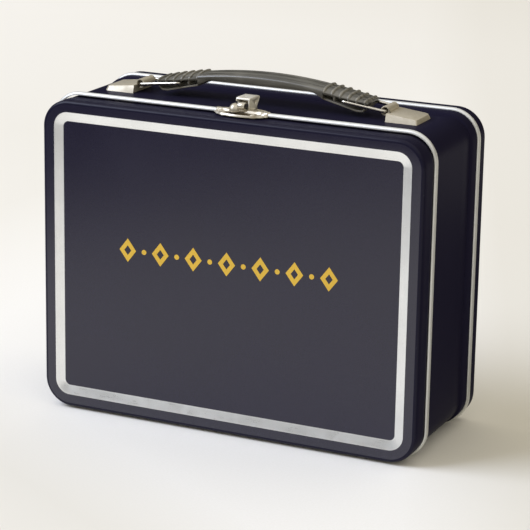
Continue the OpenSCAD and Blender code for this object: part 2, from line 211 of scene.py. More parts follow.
def painted(name, base, light, gloss, shine):
    """Satin printed enamel on tin: faint mottle, orange peel, fine grain and rare rubs."""
    made = Shader(name, Specular_IOR_Level=shine)
    mottle = made.noise(14, 4)
    grain = made.noise(5200, 2)
    tone = made.mix(made.band(mottle, 0.3, 0.7), base, light)
    tone = made.mix(made.band(grain, 0.35, 0.75, 0, 0.35), tone, light)
    rub_place = made.noise(22, 3, made.stretched(1, 1, 0.6))
    rub_lines = made.noise(420, 2, made.stretched(0.12, 1, 1))
    rub = made.times(made.band(rub_place, 0.64, 0.74), made.band(rub_lines, 0.52, 0.7))
    worn = made.times(made.attribute("edge"), made.band(made.noise(900, 4), 0.66, 0.74))
    tone = made.mix(made.times(rub, 0.04), tone, colour(100, 100, 115))
    tone = made.mix(made.times(worn, 0.2), tone, colour(110, 110, 122))
    made.set("Base Color", tone)
    rough = made.band(mottle, 0.3, 0.7, gloss - 0.02, gloss + 0.03)
    rough = made.plus(rough, made.times(rub, 0.12))
    rough = made.plus(rough, made.band(grain, 0.3, 0.7, -0.02, 0.03))
    made.set("Roughness", rough)
    peel = made.bump(made.noise(650, 2), 0.012 * MM)
    made.set("Normal", made.bump(grain, 0.004 * MM, peel))
    return made.material


def tinplate(name, base, dark, gloss, streaks=0.5, metal=1.0):
    """Bright rolled tinplate: lines along the sheet, tin crystals and a fine speckle."""
    made = Shader(name, Metallic=metal)
    along = made.along()
    lines = made.noise(1, 3, made.stretched(60, 9000, 1, along))
    crystals = made.cells(420, output="Color")
    crystal = made.node("SeparateColor", {"Color": crystals}).outputs[0]
    speckle = made.noise(2600, 3)
    cloud = made.noise(30, 4)
    tone = made.mix(made.band(cloud, 0.35, 0.7, 0, 0.5), base, dark)
    tone = made.mix(made.band(lines, 0.35, 0.75, 0, streaks), tone, dark)
    tone = made.mix(made.band(speckle, 0.5, 0.8, 0, 0.5), tone, dark)
    made.set("Base Color", tone)
    rough = made.band(crystal, 0, 1, gloss - 0.03, gloss + 0.03)
    rough = made.plus(rough, made.band(lines, 0.3, 0.7, -0.05, 0.06))
    made.set("Roughness", rough)
    first = made.bump(lines, 0.006 * MM)
    made.set("Normal", made.bump(speckle, 0.008 * MM, first))
    return made.material


def nickel(name, base, dark, gloss, metal=1.0, brush=(0.06, 1.0, 1.0)):
    """Warm nickel plate with brush lines, small pits and a few tarnished patches, and
    all dark brown, as painted shade, where a point's shade value on the mesh is 1."""
    made = Shader(name, Metallic=metal)
    lines = made.noise(5200, 3, made.stretched(*brush))
    cloud = made.noise(130, 4)
    pits = made.cells(1500)
    tone = made.mix(made.band(cloud, 0.45, 0.75, 0, 0.7), base, dark)
    tone = made.mix(made.band(lines, 0.4, 0.8, 0, 0.45), tone, dark)
    tone = made.mix(made.band(pits, 0.0, 0.12, 0.5, 0.0), tone, dark)
    # Painted shade: where the mesh asks for it, the colour turns dark brown as if in shadow.
    tone = made.mix(made.attribute("painted_crescent_shade"), tone, colour(84, 70, 48))
    made.set("Base Color", tone)
    rough = made.band(cloud, 0.35, 0.7, gloss - 0.05, gloss + 0.09)
    made.set("Roughness", made.plus(rough, made.band(lines, 0.3, 0.7, -0.05, 0.06)))
    first = made.bump(lines, 0.008 * MM)
    made.set("Normal", made.bump(made.noise(420, 3), 0.03 * MM, first))
    return made.material


def plastic(name, dark, light, worn):
    """Dark grey moulded plastic: long flow streaks, a fine grain and lighter, rougher patches."""
    made = Shader(name, Specular_IOR_Level=0.6)
    streaks = made.noise(420, 4, made.stretched(0.05, 1, 1))
    grain = made.noise(3600, 3)
    cloud = made.noise(60, 3)
    tone = made.mix(made.band(streaks, 0.35, 0.7), dark, light)
    tone = made.mix(made.band(cloud, 0.5, 0.75, 0, 0.4), tone, worn)
    made.set("Base Color", tone)
    rough = made.band(cloud, 0.3, 0.7, 0.24, 0.36)
    made.set("Roughness", made.plus(rough, made.band(streaks, 0.3, 0.7, -0.04, 0.08)))
    first = made.bump(streaks, 0.04 * MM)
    made.set("Normal", made.bump(grain, 0.012 * MM, first))
    return made.material


def wire_finish(name):
    """Bright drawn wire with fine lines along it."""
    made = Shader(name, Metallic=1.0)
    lines = made.noise(6000, 2, made.stretched(0.03, 1, 1))
    cloud = made.noise(260, 3)
    tone = made.mix(made.band(lines, 0.4, 0.8, 0, 0.5), colour(214, 208, 194), colour(150, 143, 128))
    made.set("Base Color", made.mix(made.band(cloud, 0.55, 0.8, 0, 0.5), tone, colour(150, 144, 128)))
    made.set("Roughness", made.band(cloud, 0.3, 0.7, 0.14, 0.26))
    made.set("Normal", made.bump(lines, 0.006 * MM))
    return made.material


def gold_print(name):
    """Flat gold ink: even, with the slight grain of a print on metal."""
    made = Shader(name, Specular_IOR_Level=0.4)
    grain = made.noise(4200, 3)
    tone = made.mix(made.band(grain, 0.35, 0.7), colour(206, 166, 50), colour(222, 184, 70))
    cloud = made.noise(35, 3)
    made.set("Base Color", made.mix(made.band(cloud, 0.4, 0.7, 0, 0.4), tone, colour(198, 160, 56)))
    made.set("Roughness", made.band(grain, 0.3, 0.7, 0.36, 0.46))
    made.set("Normal", made.bump(grain, 0.004 * MM))
    return made.material


# Painted light: the next four are copies of one navy enamel. The walls' copy has a lighter colour and almost
# no shine, as painted light for the sides and top. The rounded edge's copy has less shine than the front's,
# to dim the highlight on that edge.
NAVY_LIGHTENED_WALLS = painted("navy_print_painted_lighter", colour(27, 25, 42), colour(31, 29, 46), 0.34, 0.008)
BEND_DIMMED_SHINE = painted("bend_print_dimmed_shine", colour(18, 16, 36), colour(22, 20, 40), 0.3, 0.15)
FACE = painted("face_print", colour(16, 12, 38), colour(20, 16, 42), 0.24, 0.8)
PANEL = painted("panel_print", colour(16, 12, 38), colour(21, 17, 43), 0.26, 0.66)
TIN = tinplate("bright_tin", colour(248, 248, 246), colour(214, 215, 214), 0.33, 0.3, 0.9)
BEAD = tinplate("bead_tin", colour(231, 231, 228), colour(204, 204, 200), 0.42, 0.4, 0.55)
LINING = tinplate("inner_tin", colour(205, 206, 205), colour(150, 152, 152), 0.36)
NICKEL = nickel("warm_nickel", colour(204, 195, 176), colour(168, 157, 132), 0.42, 0.5)
NICKEL_HASP = nickel("bright_nickel", colour(235, 231, 220), colour(186, 176, 152), 0.34, 0.35)
NICKEL_ORNATE = nickel("cast_nickel", colour(220, 213, 197), colour(136, 121, 90), 0.3, 0.75)
WIRE = wire_finish("drawn_wire")
PLASTIC = plastic("grey_moulding", colour(64, 62, 57), colour(108, 105, 96), colour(132, 128, 118))
# Painted highlight: a lighter copy of the same grey plastic, for the ribs, the flange and the pocket walls.
RIDGE_PAINTED_LIGHTER = plastic("ridge_moulding_painted_lighter", colour(96, 93, 86), colour(134, 130, 120), colour(158, 153, 142))
GOLD = gold_print("gold_ink")

# ---- mesh helpers ----------------------------------------------------------------------


def arc(cx, cy, radius, start, end, steps):
    """Points on an arc, with its angles in degrees."""
    points = []
    for i in range(steps + 1):
        angle = math.radians(start + (end - start) * i / steps)
        points.append((cx + radius * math.cos(angle), cy + radius * math.sin(angle)))
    return points


def link(obj):
    if obj.name not in bpy.context.scene.collection.objects:
        bpy.context.scene.collection.objects.link(obj)


def place(obj, body, slot, *replaced):
    """Links a piece, hands it to its body and hides the CAD parts that it stands for."""
    link(obj)
    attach(obj, body)
    if replaced:
        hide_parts(*replaced)
    return obj


def finished(bm, name, materials, sharp=35):
    """Turns a bmesh into an object with smooth faces and sharp creases."""
    bmesh.ops.recalc_face_normals(bm, faces=bm.faces[:])
    for face in bm.faces:
        face.smooth = True
    limit = math.radians(sharp)
    for edge in bm.edges:
        edge.smooth = len(edge.link_faces) == 2 and edge.calc_face_angle() < limit
    mesh = bpy.data.meshes.new(name)
    bm.to_mesh(mesh)
    bm.free()
    for material in materials:
        mesh.materials.append(material)
    return bpy.data.objects.new(name, mesh)


def skin(bm, a, b, number=0):
    """Faces between two closed loops of as many points, all of one material."""
    made = []
    for i in range(len(a)):
        n = (i + 1) % len(a)
        made.append(bm.faces.new((a[i], a[n], b[n], b[i])))
        made[-1].material_index = number
    return made


def stations():
    """Stops round the outline: corner-axis place, outward direction, distance from the
    middle of a straight side (0 in the middle, 1 at its ends) and distance run so far."""
    half_x = HALF_W - CORNER_R
    half_z = HALF_H - CORNER_R
    stops = []
    corner_steps = 12
    side_steps = 16
    run = 0.0
    for quarter, (sx, sz) in enumerate(((1, 1), (-1, 1), (-1, -1), (1, -1))):
        centre = Vector((sx * half_x, sz * half_z))
        for i in range(corner_steps):
            angle = math.radians(90 * (quarter + i / corner_steps))
            stops.append((centre, Vector((math.cos(angle), math.sin(angle))), 1.0, run))
            run += CORNER_R * math.pi / 2 / corner_steps
        other = ((-1, 1), (-1, -1), (1, -1), (1, 1))[quarter]
        target = Vector((other[0] * half_x, other[1] * half_z))
        angle = math.radians(90 * (quarter + 1))
        out = Vector((math.cos(angle), math.sin(angle)))
        for i in range(side_steps):
            t = i / side_steps
            stops.append((centre.lerp(target, t), out, abs(2 * t - 1), run))
            run += (target - centre).length / side_steps
    return stops, run


STOPS, ROUND = stations()


def sweep(name, profile, materials, which=None, sag=0.0, worn=(), drop=0.0, lift=0.0):
    """Closed profile carried round the outline. which gives the material number of the
    segment that starts at each profile point. The walls sink by sag in the middle of each
    side, where the profile point asks for it, and worn lists the points on outer edges.
    The top wall sits lower by drop, and what stands outside the walls rises by lift."""
    bm = bmesh.new()
    layer = bm.loops.layers.uv.new("along")
    edge = bm.verts.layers.float.new("edge")
    wall_reach = 3 * MM
    rings = []
    for centre, out, off_middle, _ in STOPS:
        ring = []
        sink = sag * (1 - off_middle**2) ** 2
        for k, point in enumerate(profile):
            give = point[2] if len(point) > 2 else 0.0
            lower = drop * max(0.0, out.y) if point[0] > -wall_reach else 0.0
            raised = lift * max(0.0, out.y) * max(0.0, point[0]) / BEAD_R
            reach = CORNER_R + point[0] - sink * give - lower + raised
            spot = centre + out * reach
            vert = bm.verts.new((spot.x, point[1], MID_Z + spot.y))
            vert[edge] = 1.0 if k in worn else 0.0
            ring.append(vert)
        rings.append(ring)
    across = [0.0]
    count = len(profile)
    for k in range(count):
        a, b = profile[k], profile[(k + 1) % count]
        across.append(across[-1] + math.hypot(b[0] - a[0], b[1] - a[1]))
    for i, stop in enumerate(STOPS):
        nxt = (i + 1) % len(STOPS)
        run_a = stop[3]
        run_b = STOPS[nxt][3] or ROUND
        for k in range(count):
            m = (k + 1) % count
            face = bm.faces.new((rings[i][k], rings[nxt][k], rings[nxt][m], rings[i][m]))
            if which:
                face.material_index = which[k]
            spots = ((run_a, across[k]), (run_b, across[k]), (run_b, across[k + 1]), (run_a, across[k + 1]))
            for loop, uv in zip(face.loops, spots):
                loop[layer].uv = uv
    return finished(bm, name, materials, 40)


def face_sheet(name, inset, y, thick, materials, toward=-1, wave=0.0):
    """Rounded panel inside the outline: a fan of rings from its edge to its middle, with
    a slight waviness, and a second skin behind it."""
    bm = bmesh.new()
    layer = bm.loops.layers.uv.new("along")
    edge = bm.verts.layers.float.new("edge")
    fractions = [0, 0.012, 0.03, 0.06] + [0.1 + 0.9 * i / 18 for i in range(19)]
    skins = []
    for depth, number in ((0.0, 0), (thick, 1)):
        loops = []
        for share in fractions[:-1]:
            loop = []
            for centre, out, _, _ in STOPS:
                spot = (centre + out * (CORNER_R - inset)) * (1 - share)
                lift = wave * share * (2 - share) * noise.noise((spot.x * 18, y, spot.y * 18))
                loop.append(bm.verts.new((spot.x, y - toward * (depth - lift), MID_Z + spot.y)))
            loops.append(loop)
        hub = bm.verts.new((0, y - toward * (depth - wave * noise.noise((0, y, 0))), MID_Z))
        for a, b in zip(loops, loops[1:]):
            skin(bm, a, b, number)
        last = loops[-1]
        for i in range(len(last)):
            bm.faces.new((last[i], last[(i + 1) % len(last)], hub)).material_index = number
        skins.append(loops[0])
    skin(bm, *skins, 1)
    for face in bm.faces:
        for loop in face.loops:
            loop[layer].uv = (loop.vert.co.x, loop.vert.co.z)
    for vert in bm.verts:
        vert[edge] = 0.0
    return finished(bm, name, materials, 50)


def prism(bm, outline, low, high, axis="y", bevel=0.0, steps=2):
    """Outline of (a, b) points carried between two values of the third axis, with its
    long edges rounded. axis is the direction that it is carried in."""
    def spot(a, b, c):
        return {"x": (c, a, b), "y": (a, c, b), "z": (a, b, c)}[axis]

    bottom = [bm.verts.new(spot(a, b, low)) for a, b in outline]
    top = [bm.verts.new(spot(a, b, high)) for a, b in outline]
    made = [bm.faces.new(bottom), bm.faces.new(top), *skin(bm, bottom, top)]
    bmesh.ops.recalc_face_normals(bm, faces=made)
    if bevel:
        edges = set(e for f in made for e in f.edges)
        sharp = [e for e in edges if e.calc_face_angle() > math.radians(28)]
        bmesh.ops.bevel(
            bm, geom=sharp, offset=bevel, segments=steps, profile=0.5, affect="EDGES", clamp_overlap=True
        )


def lathe(bm, centre, axis, profile, steps=24):
    """Turned shape: profile points are (radius, distance along the axis from centre)."""
    axis = Vector(axis).normalized()
    side = axis.orthogonal().normalized()
    other = axis.cross(side)
    rings = []
    for radius, reach in profile:
        middle = Vector(centre) + axis * reach
        if radius < 1e-7:
            rings.append([bm.verts.new(middle)])
            continue
        ring = []
        for i in range(steps):
            angle = 2 * math.pi * i / steps
            ring.append(bm.verts.new(middle + (side * math.cos(angle) + other * math.sin(angle)) * radius))
        rings.append(ring)
    for a, b in zip(rings, rings[1:]):
        if len(a) == len(b):
            skin(bm, a, b)
            continue
        tip, ring = (a[0], b) if len(a) == 1 else (b[0], a)
        for i in range(steps):
            bm.faces.new((tip, ring[i], ring[(i + 1) % steps]))


def curled_strip(bm, path, thick, low, high, axis="y", bevel=0.0):
    """Sheet strip whose side view is the middle line path, given as (a, b) points."""
    left, right = [], []
    for i, (a, b) in enumerate(path):
        before = path[max(i - 1, 0)]
        after = path[min(i + 1, len(path) - 1)]
        run = Vector((after[0] - before[0], after[1] - before[1])).normalized()
        side = Vector((-run.y, run.x)) * thick / 2
        left.append((a + side.x, b + side.y))
        right.append((a - side.x, b - side.y))
    prism(bm, left + right[::-1], low, high, axis, bevel, 1)


# ---- box: cover, band and back ---------------------------------------------------------


def pan_points(face_y, edge_y, toward, out=0.0, edge_r=EDGE_R):
    """Outside and inside of a pan: shallow groove beside its bead, wall, rounded edge and
    flat rim. toward is -1 for the front pan and 1 for the back pan."""
    centre_y = face_y - toward * edge_r
    lips = ((0.0, GROOVE), (2 * BEAD_R + 0.6 * MM, GROOVE), (2 * BEAD_R + 1.8 * MM, 0.1 * MM))
    if toward > 0:
        lips = ((0.0, GROOVE), (BEAD_R + 0.15 * MM, GROOVE), (BEAD_R + 1.1 * MM, 0.15 * MM))
    outside = [(out - sink, edge_y + toward * reach, 0.0) for reach, sink in lips]
    depth = centre_y - edge_y
    for share in (0.4, 0.6, 0.8):
        outside.append((out, edge_y + depth * share, math.sin(math.pi * share)))
    inner_r = edge_r - SHEET
    bend = arc(out - edge_r, 0, edge_r, 0, 90, 7)
    outside += [(x, centre_y + toward * y) for x, y in bend]
    outside.append((-RIM_W, face_y))
    inside = [(-RIM_W, face_y - toward * SHEET)]
    inner_bend = arc(out - edge_r, 0, inner_r, 90, 0, 5)
    inside += [(x, centre_y + toward * y) for x, y in inner_bend]
    for share in (0.8, 0.6, 0.4):
        inside.append((out - SHEET, edge_y + depth * share, math.sin(math.pi * share)))
    inside += [(out - sink - SHEET, edge_y + toward * reach) for reach, sink in lips[::-1]]
    return outside, inside


def ring_points(face_y, toward):
    """Slope from the rim down to the panel, eased at both ends."""
    outside = []
    steps = 12
    for i in range(steps + 1):
        t = i / steps
        ease = 0.08
        if t < ease:
            drop = t * t / (2 * ease)
        elif t > 1 - ease:
            drop = 1 - ease - (1 - t) ** 2 / (2 * ease)
        else:
            drop = t - ease / 2
        drop /= 1 - ease
        outside.append((-RIM_W - RING_W * t, face_y - toward * RECESS * drop))
    inside = [(x, y - toward * SHEET) for x, y in outside[::-1]]
    return outside, inside


def make_cover():
    sag = 0.25 * MM
    outside, inside = pan_points(FRONT_Y, SEAM_Y + BEAD_R, -1)
    # The walls take the navy copy painted lighter, the rounded edge the copy with dimmed shine, and the rest
    # of the front the front copy.
    side, bend = 7, 6
    which = [0] * side + [3] * bend + [2] * (len(outside) - 1 - side - bend) + [1] * (len(inside) + 1)
    worn = range(7, len(outside) - 2)
    materials = [NAVY_LIGHTENED_WALLS, LINING, FACE, BEND_DIMMED_SHINE]
    shell = sweep("cover_shell_skin", outside + inside, materials, which, sag, worn, COVER_DROP)
    place(shell, "cover", "navy_paint", "cover_shell")
    outside, inside = ring_points(FRONT_Y, -1)
    which = [0] * (len(outside) - 1) + [1] * (len(inside) + 1)
    ring = sweep("cover_ring_skin", outside + inside, [TIN, LINING], which)
    place(ring, "cover", "bare_tinplate", "cover_ring")
    panel = face_sheet(
        "cover_panel_skin", RIM_W + RING_W, FRONT_Y + RECESS, SHEET, [PANEL, LINING], -1, 0.12 * MM
    )
    place(panel, "cover", "printed_panel", "cover_panel")


def bead_points(middle_y):
    """Rolled bead: a half round, wider towards the front, with a fine line where the
    rolled edge ends."""
    points = []
    steps = 18
    for i in range(steps + 1):
        angle = -90 + 180 * i / steps
        angle = max(-89.99, min(89.99, angle))
        radius = BEAD_R
        if i == steps * 2 // 3:
            radius -= 0.09 * MM
        turn = math.radians(angle)
        reach = radius * (1.5 if angle < 0 else 1.05)
        points.append((radius * math.cos(turn) ** 0.8, middle_y + reach * math.sin(turn)))
    return points


def make_beads():
    for name, middle, body, node, lift in (
        ("cover_hem_skin", SEAM_Y, "cover", "cover_hem", 0.4 * MM),
        ("back_seam_skin", BACK_SEAM_Y, "case", "case_back_seam", 0.1 * MM),
    ):
        bead = sweep(name, bead_points(middle), [BEAD], lift=lift)
        place(bead, body, "bare_tinplate", node)


def make_band():
    """Band of the case: neck with a curled lip, hollow outer face, crease and back strip."""
    front = SEAM_Y - 4.7 * MM
    lip = 0.9 * MM
    wall = -BAND_IN
    neck = wall - 1.35 * MM
    outside = arc(neck - lip, front, lip, -150, 0, 8)
    outside += [(neck, SEAM_Y - 0.6 * MM), (wall, SEAM_Y + 0.3 * MM)]
    floor = []
    for share in (0.1, 0.2, 0.4, 0.6, 0.8):
        floor.append((SEAM_Y + (CREASE_Y - SEAM_Y) * share, math.sin(math.pi * min(1, share + 0.1))))
    outside += [(wall, y, give) for y, give in floor]
    outside += [(wall, CREASE_Y - 0.5 * MM), (wall - 0.12 * MM, CREASE_Y)]
    outside += [(wall + 0.3 * BAND_IN, CREASE_Y + 0.35 * MM), (-0.1 * MM, CREASE_Y + 0.9 * MM)]
    outside += [(0.0, CREASE_Y + 1.2 * MM), (0.0, BACK_SEAM_Y)]
    inside = [(-SHEET, BACK_SEAM_Y), (-SHEET, CREASE_Y + 1.3 * MM), (wall - SHEET, CREASE_Y + 0.3 * MM)]
    inside += [(wall - SHEET, y, give) for y, give in floor[::-1]]
    inside += [(wall - SHEET, SEAM_Y + 0.3 * MM), (neck - SHEET, SEAM_Y - 0.6 * MM), (neck - SHEET, front)]
    which = [0] * (len(outside) - 1) + [1] * (len(inside) + 1)
    # The band's outer face takes the navy copy painted lighter.
    band = sweep("case_band_skin", outside + inside, [NAVY_LIGHTENED_WALLS, LINING], which, 0.3 * MM)
    cut_notches(band)
    place(band, "case", "navy_paint", "case_band")


def cut_notches(band):
    """Opens the floor of the band round each hinge, as its CAD solid is."""
    for side in ("left", "right"):
        low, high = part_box("hinge_leaf_case_" + side)
        knuckle_r = high.z / 2
        gap = 1.3 * MM
        back = low.y + 2 * knuckle_r + 0.3 * MM
        front = SEAM_Y - 6.7 * MM
        left, right = low.x - gap, high.x + gap
        outline = [(left, front), (right, front), (right, back), (left, back)]
        mill(band, outline, -5 * MM, 5 * MM, "z", "notch_cut")


def cut_with(obj, bm, name):
    """Cuts the shape in bm out of obj, and leaves obj a plain mesh."""
    tool = finished(bm, name, list(obj.data.materials))
    link(obj)
    link(tool)
    cut = obj.modifiers.new("cut", "BOOLEAN")
    cut.operation = "DIFFERENCE"
    cut.object = tool
    cut.solver = "EXACT"
    baked = bpy.data.meshes.new_from_object(obj.evaluated_get(bpy.context.evaluated_depsgraph_get()))
    obj.modifiers.clear()
    obj.data = baked
    bpy.data.objects.remove(tool)


def mill(obj, outline, low, high, axis, name):
    """Cuts an outline through obj, between two values of the axis."""
    bm = bmesh.new()
    prism(bm, outline, low, high, axis)
    cut_with(obj, bm, name)


def drill(obj, centre, axis, radius, reach, steps, name):
    """Cuts a round hole through obj."""
    bm = bmesh.new()
    lathe(bm, centre, axis, [(0, -reach), (radius, -reach), (radius, reach), (0, reach)], steps)
    cut_with(obj, bm, name)


def make_back():
    outside, inside = pan_points(BACK_Y, BACK_SEAM_Y, 1, 0.4 * MM, 1.1 * MM)
    slope, under = ring_points(BACK_Y, 1)
    profile = outside + slope[1:] + under[:-1] + inside
    split = len(outside) + len(slope) - 2
    # The walls take the navy copy painted lighter, the rounded edge the copy with dimmed shine, and the rest
    # of the front the front copy.
    side, bend = 6, 7
    which = [0] * side + [3] * bend + [2] * (split - side - bend) + [1] * (len(profile) - split)
    worn = range(7, len(outside) - 2)
    back = sweep("case_back_skin", profile, [NAVY_LIGHTENED_WALLS, LINING, FACE, BEND_DIMMED_SHINE], which, 0.2 * MM, worn)
    place(back, "case", "navy_paint", "case_back")
    panel = face_sheet(
        "case_back_panel_skin", RIM_W + RING_W, BACK_Y - RECESS, SHEET, [FACE, LINING], 1, 0.12 * MM
    )
    place(panel, "case", "navy_paint", "case_back_panel")


# ---- gold ornament on the panel --------------------------------------------------------


def make_ornament():
    """Row of open lozenges and small dots across the panel, as a flat print."""
    count = 7
    pitch = 18 * MM
    tall = 6 * MM
    wide = 4.6 * MM
    stroke = 0.42
    middle_z = MID_Z + 7 * MM
    y = FRONT_Y + RECESS - 0.08 * MM
    thick = 0.05 * MM
    bm = bmesh.new()
    for i in range(count):
        x = (i - (count - 1) / 2) * pitch
        corners = [(wide, 0), (0, tall), (-wide, 0), (0, -tall)]
        for a, b in zip(corners, corners[1:] + corners[:1]):
            outline = [
                (x + a[0], middle_z + a[1]), (x + b[0], middle_z + b[1]),
                (x + b[0] * stroke, middle_z + b[1] * stroke), (x + a[0] * stroke, middle_z + a[1] * stroke),
            ]
            prism(bm, outline, y, y + thick, "y")
        if i < count - 1:
            dot = arc(x + pitch / 2, middle_z, 1.3 * MM, 0, 345, 23)
            prism(bm, dot, y, y + thick, "y")
    bmesh.ops.remove_doubles(bm, verts=bm.verts[:], dist=1e-6)
    ornament = finished(bm, "panel_ornament", [GOLD])
    place(ornament, "cover", "printed_panel")


# ---- handle ----------------------------------------------------------------------------

HANDLE_Y = (grip_low.y + grip_high.y) / 2
HANDLE_HALF = grip_high.x
GRIP_W = grip_high.y - grip_low.y
CROWN_Z = BAND_TOP + 15.1 * MM
TOP_R = 220 * MM
UNDER_Z = BAND_TOP + 9.9 * MM
TIP_Z = BAND_TOP + 7.1 * MM
TIP_X = 43.7 * MM
BAIL_X = 65.85 * MM
BAIL_Z = BAND_TOP + 4.4 * MM


def top_at(x):
    return CROWN_Z - TOP_R + math.sqrt(TOP_R**2 - x * x)


def arm_at(x):
    return BAIL_Z + (TIP_Z - BAIL_Z) * (BAIL_X - x) / (BAIL_X - TIP_X)


def grip_section(thick):
    """Cross-section of the grip: flat underside, rounded edges, and a raised band along
    the middle of the top between two shallow grooves. Points are (y, height below top)."""
    half = GRIP_W / 2
    points = []
    steps = 44
    for i in range(steps + 1):
        t = i / steps * 2 - 1
        y = half * math.sin(t * math.pi / 2)
        crown = 1.9 * MM * (abs(t) ** 3.2)
        band = 0.34 * MM * math.exp(-((abs(y) - 3.4 * MM) / (0.75 * MM)) ** 2)
        points.append((y, -crown - band))
    low = -thick
    fillet = 0.7 * MM
    flank = [(0.05 * MM, low + 1.4 * MM), (0.4 * MM, low + fillet / 2), (1.2 * MM, low)]
    points += [(half - inset, z) for inset, z in flank]
    points += [(half * 0.5, low - 0.05 * MM), (-half * 0.5, low - 0.05 * MM)]
    points += [(inset - half, z) for inset, z in flank[::-1]]
    return points


def plate_thick(x):
    return top_at(x) - arm_at(x) - 1.35 * MM


def crown_fall(x, y):
    """How far the top of the handle falls from its middle line to the distance y."""
    crown = min(1.9 * MM, plate_thick(abs(x)) - 0.55 * MM) if abs(x) > 32 * MM else 1.9 * MM
    share = min(1.0, abs(y) / (GRIP_W / 2))
    return crown * share**2.6 if y < 0 else crown * 0.35 * share**4


def plate_section(x):
    """Cross-section of the plate at an end of the handle, as (y, fall below the top)."""
    half = GRIP_W / 2
    steps = 24
    points = []
    for i in range(steps + 1):
        y = half * math.sin((i / steps - 0.5) * math.pi)
        points.append((y, crown_fall(x, y)))
    thick = plate_thick(x)
    return points + [(half - 0.25 * MM, thick), (-half + 0.25 * MM, thick)]


def loft(bm, sections):
    """Skins a list of equal loops of points and closes both ends."""
    loops = [[bm.verts.new(p) for p in section] for section in sections]
    for a, b in zip(loops, loops[1:]):
        skin(bm, a, b)
    bm.faces.new(loops[0][::-1])
    bm.faces.new(loops[-1])


def make_grip():
    bm = bmesh.new()
    sections = []
    reach = 33.6 * MM
    steps = 36
    for i in range(steps + 1):
        x = -reach + 2 * reach * i / steps
        under = UNDER_Z
        start = 26 * MM
        if abs(x) > start:
            share = (abs(x) - start) / (34 * MM - start)
            under -= 3.4 * MM * share * share * (1.6 - 0.6 * share)
        top = top_at(x)
        sections.append([(x, HANDLE_Y + y, top + drop) for y, drop in grip_section(top - under)])
    loft(bm, sections)
    lower = bmesh.new()
    for side in (-1, 1):
        handle_end(bm, lower, side)
        ribs(lower, side, GRIP_W / 2)
    grip = finished(bm, "handle_moulding", [PLASTIC], 38)
    place(grip, "handle", "grey_plastic", "handle_grip")
    # The ribs, flange and pocket walls take the lighter copy of the plastic, as a painted highlight.
    ridges = finished(lower, "handle_ridges", [RIDGE_PAINTED_LIGHTER], 38)
    place(ridges, "handle", "grey_plastic", "handle_grip")


def handle_end(bm, lower, side):
    """One end: ribbed top plate, web behind the wire, flange and the pocket's walls."""
    sections = []
    steps = 12
    inner = 32.5 * MM
    for i in range(steps + 1):
        x = inner + (HANDLE_HALF - inner) * i / steps
        sections.append([(side * x, HANDLE_Y + y, top_at(x) - fall) for y, fall in plate_section(x)])
    loft(bm, sections)
    flange_low = TIP_Z - 4.6 * MM
    flange = [
        (33 * MM, UNDER_Z - 3.1 * MM),
        (HANDLE_HALF - 6 * MM, flange_low),
        (HANDLE_HALF - 3 * MM, flange_low),
        (HANDLE_HALF, TIP_Z - 1.2 * MM),
        (HANDLE_HALF - 0.9 * MM, TIP_Z - 1.3 * MM),
        (HANDLE_HALF - 3.4 * MM, flange_low + 0.9 * MM),
        (HANDLE_HALF - 6.3 * MM, flange_low + 0.9 * MM),
        (33 * MM, UNDER_Z - 2.2 * MM),
    ]
    wall = [
        (38.6 * MM, UNDER_Z - 3.0 * MM),
        (39.6 * MM, UNDER_Z - 3.2 * MM),
        (39.6 * MM, TIP_Z + 2.4 * MM),
        (38.6 * MM, TIP_Z + 2.6 * MM),
    ]
    web = [
        (33 * MM, TIP_Z + 3.6 * MM),
        (39.5 * MM, TIP_Z + 2.2 * MM),
        (HANDLE_HALF - 0.6 * MM, top_at(HANDLE_HALF) - 0.6 * MM),
        (HANDLE_HALF - 0.6 * MM, TIP_Z - 1.4 * MM),
        (HANDLE_HALF - 3.2 * MM, flange_low + 0.3 * MM),
        (HANDLE_HALF - 6.1 * MM, flange_low + 0.3 * MM),
        (39.5 * MM, TIP_Z - 1.9 * MM),
        (33 * MM, UNDER_Z - 2.6 * MM),
    ]
    for target, points, half, bevel, rounds in (
        (lower, flange, 6.4 * MM, 0.25 * MM, 2),
        (lower, wall, 6.6 * MM, 0.3 * MM, 2),
        (bm, web, 1.6 * MM, 0.2 * MM, 1),
    ):
        outline = [(side * x, z) for x, z in points]
        prism(target, outline, HANDLE_Y - half, HANDLE_Y + half, "y", bevel, rounds)


def ribs(bm, side, half):
    """Thin raised ribs across the top plate, with rounded tops and ends."""
    count = 6
    for i in range(count):
        x = (34 + 4.3 * i) * MM
        top = top_at(x)
        tilt = -x / math.sqrt(TOP_R**2 - x * x)
        sections = []
        for share in (0.0, 0.02, 0.05, 0.09, 0.16, 0.3, 0.5, 0.7, 0.84, 0.91, 0.95, 0.98, 1.0):
            y = HANDLE_Y + (share * 2 - 1) * half
            edge = min(share, 1 - share) / 0.09
            size = math.sqrt(max(0.0, 1 - (1 - min(edge, 1)) ** 2)) * 0.75 + 0.25
            loop = []
            for a, b in arc(0, 0, 1, -20, 200, 8) + [(-0.9, -1.6), (0.9, -1.6)]:
                dx = a * 0.78 * MM * size
                dz = b * 0.85 * MM * size
                loop.append((side * (x + dx), y, top - crown_fall(x, y - HANDLE_Y) + dx * tilt + dz))
            sections.append(loop)
        loft(bm, sections)


# ---- brackets --------------------------------------------------------------------------

ROOF_HALF = (bracket_high.y - bracket_low.y) / 2 - 1.3 * MM
ROOF_IN = 3.9 * MM
ROOF_OUT = 2.1 * MM


def bracket_tabs(bm, side):
    """Two tabs through the top of the case, clinched outward below it."""
    tab_x = 75 * MM
    half_w = 2.5 * MM
    half_t = 0.4 * MM
    for out in (-1, 1):
        y = HANDLE_Y + out * 5 * MM
        for reach, top_z in ((half_t, 2 * MM), (3.6 * MM, -0.6 * MM)):
            corners = ((-half_w, -half_t), (half_w, -half_t), (half_w, reach), (-half_w, reach))
            outline = [(side * (tab_x + a), y + out * b) for a, b in corners]
            prism(bm, outline, BAND_TOP - 1.2 * MM, BAND_TOP + top_z, "z", 0.1 * MM, 1)


